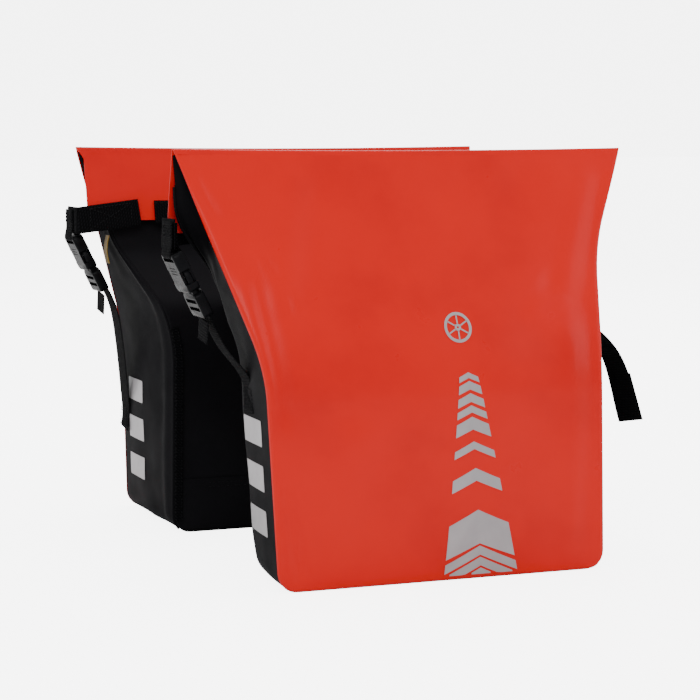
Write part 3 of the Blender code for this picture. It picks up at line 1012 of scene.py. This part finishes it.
def ring_rows(centre, inner, outer, steps):
    """Rows of a flat ring in the panel's plane, closed on itself."""
    rows = []
    for radius in (inner, (inner + outer) / 2, outer):
        row = []
        for step in range(steps + 1):
            angle = math.tau * step / steps
            row.append(centre + Vector((radius * math.cos(angle), 0, radius * math.sin(angle))))
        rows.append(row)
    return rows


# The wheel sign: the inner and outer radii of its parts
MARK_Z = 0.209
RIM = (0.0098, 0.0122)
HUB = (0.0009, 0.0028)
SPOKE = (0.0031, 0.0095)
SPOKE_HALF = 0.0006


def make_mark(side, tree):
    """A plain wheel sign above the column: a rim, a hub and spokes."""
    centre = place(side, column_x(MARK_Z) - 0.001, outer_wall(MARK_Z), MARK_Z)
    inwards = (0, -SIDES[side], 0)
    shapes = [("rim", ring_rows(centre, *RIM, 48)), ("hub", ring_rows(centre, *HUB, 24))]
    for number in range(3):
        angle = math.pi * (number / 3 + 0.5)
        along = Vector((math.cos(angle), 0, math.sin(angle)))
        wide = Vector((-along.z, 0, along.x)) * SPOKE_HALF
        for sign, word in ((1, "a"), (-1, "b")):
            line = [centre + along * sign * reach for reach in spread(*SPOKE, 3)]
            shapes.append((f"spoke_{number + 1}{word}", [[p - wide for p in line], [p + wide for p in line]]))
    for word, rows in shapes:
        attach(film(f"{side}_mark_{word}", rows, tree, inwards), f"{side}_mouth")


PATCH_CORNER = 0.0008
PATCH_SHARE = 0.82
PATCH_SHIFT = 0.0023


def make_patches(side, tree):
    """Three reflective patches down the rear gusset, with slightly rounded corners."""
    for number in (1, 2, 3):
        node = f"{side}_reflector_{number}"
        low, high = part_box(node)
        centre = (low + high) / 2
        half = Vector((0, (high.y - low.y) / 2, (high.z - low.z) / 2 * PATCH_SHARE))
        centre.z -= SIDES[side] * PATCH_SHIFT
        rows = []
        for up in spread(-1.0, 1.0, 12):
            reach = half.y - roll(half.z * (1 - abs(up)), PATCH_CORNER)
            line = centre + Vector((0, 0, half.z * up))
            rows.append([line + Vector((0, reach * along, 0)) for along in spread(-1.0, 1.0, 14)])
        patch = film(f"{side}_patch_{number}", rows, tree, (1, 0, 0))
        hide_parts(node)
        follow_mouth(patch)


# --- straps and buckles ---


def buckle_frame(side, end):
    """Axes of a buckle: x outwards from the bag's end, y across, z up along the strap."""
    reach = EAR_REACH[end] + 0.0012
    spot = place(side, ENDS[end] * reach, BUCKLE_ACROSS[end], BUCKLE_TOP_Z)
    turn = Matrix.Rotation(ENDS[end] * BUCKLE_TILT[end], 4, "Y")
    mirror = Matrix.Diagonal((ENDS[end], 1, 1, 1))
    return Matrix.Translation(spot) @ turn @ mirror


def make_ear_straps(side, end):
    """The webbing sewn along the flap and turned round its ear, and the loop that holds the buckle."""
    out, sign = ENDS[end], SIDES[side]
    node = f"{side}_{end}_upper_strap"
    low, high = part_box(node)
    ear = max(abs(low.x), abs(high.x)) - WEB / 2
    start = min(abs(low.x), abs(high.x))
    face = flap_across(EAR_Z)
    route = (
        (start, face - 0.0022, EAR_Z + 0.0070),
        (start + 0.025, face - 0.0026, EAR_Z + 0.0040),
        (ear - 0.010, face - 0.0018, EAR_Z + 0.0010),
        (ear - 0.0022, face - 0.0008, EAR_Z),
        (ear - 0.0002, face + 0.0016, EAR_Z),
        (ear, face + 0.010, EAR_Z),
        (ear - 0.0003, (face + BUCKLE_ACROSS[end]) / 2 + 0.008, EAR_Z),
        (ear - 0.0006, BUCKLE_ACROSS[end] + 0.012, EAR_Z),
    )
    path = through([place(side, out * x, across, z) for x, across, z in route], 5)
    band = webbing(f"{side}_{end}_ear_webbing", path, (0, sign * 0.12, 1))
    fit(band, "webbing_black", f"{side}_flap", (node,))

    along = place(side, out * (start + 0.028), face - 0.0026, EAR_Z + 0.0038)
    along.y -= sign * 0.0009
    lines = box_lines(along, (out, 0, -0.12), (0, 0, 1), (0, -sign, 0), 0.040, SEWN_WIDTH)
    sew(f"{side}_{end}_ear_stitches", lines, f"{side}_flap")

    matrix = buckle_frame(side, end)
    bar = matrix @ Vector((MIDDLE_OFFSET, 0, -0.0042))
    middle = SIDES[side] * BUCKLE_ACROSS[end]
    outside = [Vector((out * (ear + 0.0016), middle, z)) for z in (0.2965, 0.2880, 0.2790)]
    down = [matrix @ Vector((MIDDLE_OFFSET + 0.0046, 0, z)) for z in (0.0005, -0.0030)]
    under = [bar + Vector((0, 0, -0.0004))]
    up = [matrix @ Vector((MIDDLE_OFFSET - 0.0046, 0, z)) for z in (-0.0030, 0.0010)]
    inside = [Vector((out * (ear - 0.0026), middle, z)) for z in (0.2800, 0.2900, 0.2960)]
    path = through([*outside, *down, *under, *up, *inside], 5)
    loop = webbing(f"{side}_{end}_buckle_loop", path, (0, 1, 0), 0.0245)
    fit(loop, "webbing_black", f"{side}_flap")
    centre = Vector((out * (ear + 0.0025), middle, 0.2895))
    lines = box_lines(centre, (0, 0, 1), (0, 1, 0), (out, 0, 0), 0.010, SEWN_WIDTH)
    sew(f"{side}_{end}_loop_stitches", lines, f"{side}_flap")


def make_socket(side, end):
    matrix = buckle_frame(side, end)
    name = f"{side}_{end}_socket_shell"
    half = SOCKET_WIDTH / 2
    foot = -SOCKET_LENGTH
    outline = (
        (half - 0.0030, 0.0),
        (half - 0.0012, -0.0030),
        (half - 0.0012, -0.0100),
        (half, -0.0150),
        (half, -0.0260),
        (half - 0.0008, foot + 0.0020),
        (half - 0.0050, foot),
    )
    shell = plate(name, outline, SOCKET_THICK, matrix, MIDDLE_OFFSET)
    deep = SOCKET_THICK * 2
    cuts = [
        solid_block("slot", (deep, STRAP_SLOT, 0.0032), matrix, (MIDDLE_OFFSET, 0, -0.0050)),
        solid_block("cavity", (0.0062, 0.0300, 0.0240), matrix, (MIDDLE_OFFSET, 0, foot + 0.0080)),
    ]
    for sign in (-1, 1):
        where = (MIDDLE_OFFSET, sign * half, -0.0210)
        cuts.append(solid_block("window", (deep, 0.0068, 0.0120), matrix, where))
    for face in (-1, 1):
        for step in range(3):
            where = (MIDDLE_OFFSET + face * SOCKET_THICK / 2, 0, -0.0125 - 0.0026 * step)
            cuts.append(solid_block("groove", (0.0009, 0.0150, 0.0010), matrix, where))
    mould(shell, 0.0016, cuts)
    fit(shell, "buckle_black", f"{side}_flap", (f"{side}_{end}_buckle_socket",))


def make_plug(side, end):
    matrix = buckle_frame(side, end)
    name = f"{side}_{end}_plug_shell"
    half = PLUG_WIDTH / 2
    top, foot = -PLUG_TOP, -PLUG_TOP - PLUG_LENGTH
    outline = (
        (half - 0.0060, top + 0.0010),
        (half - 0.0010, top - 0.0020),
        (half, top - 0.0060),
        (half, foot + 0.0030),
        (half - 0.0020, foot),
    )
    body = plate(name, outline, PLUG_THICK, matrix, 0.0)
    cuts = []
    for z in (-0.0070, -0.0140):
        cuts.append(solid_block("slot", (PLUG_THICK * 2, STRAP_SLOT, 0.0034), matrix, (0, 0, top + z)))
    where = (-PLUG_THICK / 2, 0, top - 0.0125)
    cuts.append(solid_block("recess", (0.0036, STRAP_SLOT, 0.0120), matrix, where))
    mould(body, 0.0014, cuts)
    fit(body, "buckle_black", f"{side}_{end}_plug", (f"{side}_{end}_buckle_plug",))

    for sign, word in ((-1, "a"), (1, "b")):
        arm = [
            (0.0088, top - 0.0010),
            (0.0094, top + 0.0090),
            (0.0112, top + 0.0170),
            (0.0118, top + 0.0212),
            (0.0142, top + 0.0216),
            (0.0172, top + 0.0150),
            (0.0174, top + 0.0095),
            (0.0150, top + 0.0080),
            (0.0140, top - 0.0010),
        ]
        arm = [(y * sign, z) for y, z in arm]
        prong = plate(f"{side}_{end}_prong_{word}", arm, 0.0048, matrix, MIDDLE_OFFSET, mirrored=False)
        mould(prong, 0.0010)
        fit(prong, "buckle_black", f"{side}_{end}_plug")
    tongue = [(0.0036, top - 0.0010), (0.0030, top + 0.0170), (0.0016, top + 0.0190)]
    guide = plate(f"{side}_{end}_guide", list(reversed(tongue)), 0.0030, matrix, MIDDLE_OFFSET)
    mould(guide, 0.0006)
    fit(guide, "buckle_black", f"{side}_{end}_plug")


def cad_path(node, steps=12):
    """Middle line of a CAD strap, from the mean of its mesh's points at each of its levels, from the top."""
    mesh = frame["nodes"][node].data
    levels = {}
    for vertex in mesh.vertices:
        key = next((z for z in levels if abs(z - vertex.co.z) < 0.0022), vertex.co.z)
        levels.setdefault(key, []).append(vertex.co.copy())
    rows = [sum(points, Vector()) / len(points) for _, points in sorted(levels.items(), reverse=True)]
    return through(rows, steps)


TAIL_TWIST = math.radians(32)
TAIL_SWING = 0.009
HEM_FROM = 0.66


def make_side_webbing(side, end):
    """The strap from the plug down the gusset, sewn to it at its foot, and the strap's free tail."""
    out = ENDS[end]
    bag, plug = f"{side}_bag", f"{side}_{end}_plug"
    node = f"{side}_{end}_side_strap"
    path = cad_path(node)
    strap = webbing(f"{side}_{end}_side_webbing", path, (0, 1, 0))
    fit(strap, "webbing_black", bag, (node,))
    foot = path[-1] + Vector((out * 0.0010, 0, 0.0115))
    lines = box_lines(foot, path[-2] - path[-1], (0, 1, 0), (out, 0, 0), 0.018, SEWN_WIDTH)
    sew(f"{side}_{end}_foot_stitches", lines, bag)

    node = f"{side}_{end}_strap_tail"
    path = cad_path(node)
    if end == "front":
        for index, point in enumerate(path):
            share = index / (len(path) - 1)
            point += Vector((TAIL_SWING * share**1.3, 0, -TAIL_SWING * share))
    turn = TAIL_TWIST * SIDES[side] if end == "front" else 0.0
    tail = webbing(f"{side}_{end}_tail_webbing", path, (0, 1, 0), twist=turn)
    fit(tail, "webbing_black", plug, (node,))
    if end == "front":
        hem_start = path[int(len(path) * HEM_FROM)]
        run = (path[-1] - hem_start).normalized()
        wide = Vector((0, 1, 0))
        wide.rotate(Matrix.Rotation(turn * 0.83, 3, run))
        face = run.cross(wide)
        face *= math.copysign(0.0012, face.x * out)
        hem = [hem_start + run * d + face for d in spread(0.0, (path[-1] - hem_start).length, 6)]
        fit(webbing(f"{side}_{end}_tail_hem", hem, wide, 0.0246, 0.0012), "webbing_black", plug)
        centre = hem[3] + face * 0.6
        sew(f"{side}_{end}_tail_stitches", box_lines(centre, run, wide, face, 0.020, 0.018), plug)


def make_lining_tab():
    node = "left_rear_lining_tab"
    low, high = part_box(node)
    rows = []
    for up in spread(0.0, 1.0, 8):
        x = low.x - 0.0022 * math.sin(math.pi * up)
        z = low.z + (high.z - low.z) * up
        rows.append([Vector((x, y, z)) for y in spread(low.y + 0.002, high.y - 0.002, 5)])
    tab = fabric("left_rear_lining_edge", rows, (-1, 0, 0), 0.0007, grow=1)
    fit(tab, "lining_yellow", "left_bag", (node,))


# --- the bridge ---


def make_bridge():
    low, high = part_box("bridge_panel")
    top = high.z
    rows = []
    for y in spread(low.y, high.y, 24):
        row = []
        for x in spread(low.x, high.x, 48):
            inside = min(x - low.x, high.x - x)
            hem = 0.0009 * ease((0.014 - inside) / 0.0012)
            waves = 0.0010 * noise.noise(Vector((x * 16, y * 22, 5.0))) * ease(inside / 0.03)
            row.append(Vector((x, y, top + waves * ease((high.y - abs(y)) / 0.02) + hem)))
        rows.append(row)
    fit(fabric("bridge_sheet", rows, (0, 0, 1), 0.0016), "tarpaulin_black", "bridge", ("bridge_panel",))
    lines = []
    for edge in (low.x + 0.0105, high.x - 0.0105, low.x + 0.003, high.x - 0.003):
        line = [Vector((edge, y, top + 0.0011)) for y in spread(low.y + 0.002, high.y - 0.002, 10)]
        lines.append((line, (0, 0, 1)))
    for end in ENDS:
        node = f"{end}_bridge_strap"
        start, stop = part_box(node)
        x = (start.x + stop.x) / 2
        z = (start.z + stop.z) / 2 + 0.0008
        path = [Vector((x, y, z)) for y in spread(start.y, stop.y, 24)]
        fit(webbing(f"{end}_bridge_webbing", path, (1, 0, 0)), "webbing_black", "bridge", (node,))
        for sign in (-1, 1):
            centre = Vector((x, sign * (stop.y - 0.014), z + 0.0009))
            lines += box_lines(centre, (0, 1, 0), (1, 0, 0), (0, 0, 1), 0.020, SEWN_WIDTH)
    sew("bridge_stitches", lines, "bridge")


# --- studio ---


SKY_LIGHT = 0.80
BACKDROP_LIGHT = 7.5
FLOOR_LIGHT = 5.6
FLOOR_HALF = 30.0
CAMERA_PLACE = (-0.715, -1.839, 0.366)
CAMERA_DOWN = 5.65
CAMERA_TURN = 21.5
CAMERA_LENS = 111.8
AIM = Vector((0, 0, 0.18))

# Lamps: name, place, size in metres and power in watts
LAMPS = (
    ("key", (-1.3, -2.6, 2.2), 1.8, 42.0),
    ("fill", (2.4, -1.8, 1.3), 1.6, 14.0),
    ("top", (0.2, 0.6, 2.6), 2.2, 40.0),
    ("side", (-2.6, 0.4, 0.9), 1.2, 14.0),
    ("back", (1.2, 2.8, 1.8), 1.6, 22.0),
)


def make_studio():
    """Pale floor, a bright even sky, five soft lamps and the camera at the photograph's angle."""
    world = bpy.data.worlds.new("studio")
    world.use_nodes = True
    tree = world.node_tree
    sky = tree.nodes["Background"]
    sky.inputs["Color"].default_value = (1.0, 1.0, 1.0, 1.0)
    sky.inputs["Strength"].default_value = SKY_LIGHT
    backdrop = tree.nodes.new("ShaderNodeBackground")
    backdrop.inputs["Strength"].default_value = BACKDROP_LIGHT
    ray = tree.nodes.new("ShaderNodeLightPath")
    choice = tree.nodes.new("ShaderNodeMixShader")
    tree.links.new(ray.outputs["Is Camera Ray"], choice.inputs["Fac"])
    tree.links.new(sky.outputs["Background"], choice.inputs[1])
    tree.links.new(backdrop.outputs["Background"], choice.inputs[2])
    tree.links.new(choice.outputs["Shader"], tree.nodes["World Output"].inputs["Surface"])
    bpy.context.scene.world = world

    mesh = bpy.data.meshes.new("floor")
    corners = [(x * FLOOR_HALF, y * FLOOR_HALF, 0) for x, y in ((-1, -1), (1, -1), (1, 1), (-1, 1))]
    mesh.from_pydata(corners, [], [(0, 1, 2, 3)])
    floor = new_object("floor", mesh)
    paint = bpy.data.materials.new("floor")
    paint.use_nodes = True
    shader = paint.node_tree.nodes["Principled BSDF"]
    shader.inputs["Base Color"].default_value = (0.90, 0.90, 0.90, 1.0)
    shader.inputs["Roughness"].default_value = 0.85
    nodes = paint.node_tree
    shader.inputs["Emission Color"].default_value = (1.0, 1.0, 1.0, 1.0)
    seen = nodes.nodes.new("ShaderNodeLightPath")
    glow = nodes.nodes.new("ShaderNodeMath")
    glow.operation = "MULTIPLY"
    glow.inputs[1].default_value = FLOOR_LIGHT
    nodes.links.new(seen.outputs["Is Camera Ray"], glow.inputs[0])
    nodes.links.new(glow.outputs["Value"], shader.inputs["Emission Strength"])
    mesh.materials.append(paint)

    for name, where, size, power in LAMPS:
        lamp = bpy.data.lights.new(name, "AREA")
        lamp.shape = "SQUARE"
        lamp.size = size
        lamp.energy = power
        obj = new_object(name, lamp)
        obj.location = where
        obj.rotation_euler = (AIM - Vector(where)).to_track_quat("-Z", "Y").to_euler()

    camera = bpy.data.cameras.new("camera")
    camera.lens = CAMERA_LENS
    camera.sensor_width = 36.0
    camera.clip_start = 0.05
    camera.clip_end = 100.0
    obj = new_object("camera", camera)
    obj.location = CAMERA_PLACE
    obj.rotation_euler = (math.radians(90 - CAMERA_DOWN), 0, math.radians(-CAMERA_TURN))
    bpy.context.scene.camera = obj


# --- assembly ---


make_materials()
for node_name, node_obj in frame["nodes"].items():
    if "board" in node_name:
        node_obj.data.materials.clear()
        node_obj.data.materials.append(MATERIALS["board_black"])
make_bridge()
for side_name in SIDES:
    front_tree = surface_of(make_front_panel(side_name))
    make_flap(side_name)
    gusset_tree = surface_of(make_gusset_strip(side_name))
    make_back_panel(side_name)
    make_back_details(side_name)
    make_column(side_name, front_tree)
    make_mark(side_name, front_tree)
    make_patches(side_name, gusset_tree)
    for end_name in ENDS:
        make_ear_straps(side_name, end_name)
        make_socket(side_name, end_name)
        make_plug(side_name, end_name)
        make_side_webbing(side_name, end_name)
make_lining_tab()
make_studio()
